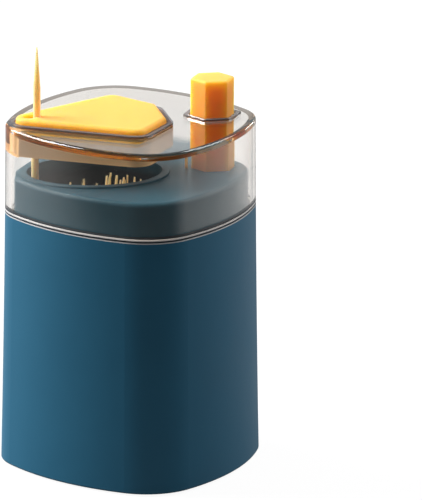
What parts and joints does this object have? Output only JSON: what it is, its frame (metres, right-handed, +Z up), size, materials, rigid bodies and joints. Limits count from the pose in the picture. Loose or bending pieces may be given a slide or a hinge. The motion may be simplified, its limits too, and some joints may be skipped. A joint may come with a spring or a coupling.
{
  "type": "toothpick dispenser",
  "caption": "Squarish push-button toothpick dispenser with a clear lid, a kite-shaped refill cover and a pick raised through its hole.",
  "frame": {"origin": "under the middle of the base, on the plane of the rubber feet", "axes": "+Z up, +X from the pick hole to the button"},
  "size_m": [0.0646, 0.0704, 0.105],
  "materials": {
    "shell_blue": "fine matte, petrol blue",
    "deck_blue": "satin, darker petrol blue",
    "clear_tint": "clear polystyrene with a faint warm smoke tint",
    "pale_clear": "pale clear plastic",
    "amber_yellow": "satin amber yellow",
    "natural_nylon": "unfinished natural plastic",
    "steel": "plain steel",
    "foot_rubber": "matte rubber",
    "birch": "plain birch"
  },
  "bodies": {
    "housing": {"body_shell": "shell_blue", "base_plate": "shell_blue", "rubber_feet": "foot_rubber", "base_screws": "steel", "seam_ring": "pale_clear", "inner_deck": "deck_blue", "hopper_cup": "deck_blue", "button_guide": "natural_nylon", "spring_post": "natural_nylon", "return_spring": "steel", "lever_shaft": "steel", "shaft_clips": "steel", "bracket_back": "natural_nylon", "bracket_front": "natural_nylon", "stored_toothpicks": "birch"},
    "lid": {"clear_lid": "clear_tint"},
    "cover": {"pick_cover": "amber_yellow"},
    "button": {"button": "amber_yellow"},
    "lever": {"rocker_lever": "natural_nylon", "lever_pins": "steel"},
    "carriage": {"carriage": "natural_nylon"},
    "toothpick": {"raised_toothpick": "birch"}
  },
  "joints": [
    {"name": "lid_lift", "type": "slide", "parent": "housing", "child": "lid", "axis": [0, 0, 1], "range_m": [0, 0.045]},
    {"name": "cover_lift", "type": "slide", "parent": "lid", "child": "cover", "axis": [0, 0, 1], "range_m": [0, 0.025]},
    {"name": "button_press", "type": "slide", "parent": "housing", "child": "button", "axis": [0, 0, -1], "range_m": [0, 0.0092], "stiffness_N_per_m": 300, "springref_m": -0.006, "deforming": ["return_spring"]},
    {"name": "lever_rock", "type": "hinge", "parent": "housing", "child": "lever", "pos_m": [0.0115, 0, 0.03], "axis": [0, 1, 0], "range_deg": [0, 78]},
    {"name": "carriage_lift", "type": "slide", "parent": "housing", "child": "carriage", "axis": [0, 0, 1], "range_m": [0, 0.0322]},
    {"name": "pick_draw", "type": "slide", "parent": "housing", "child": "toothpick", "axis": [0, 0, 1], "range_m": [0, 0.066]}
  ],
  "couplings": [
    {"joint": "lever_rock", "follows": "button_press", "rad_per_m": 147.45},
    {"joint": "carriage_lift", "follows": "button_press", "ratio": 3.4783}
  ]
}
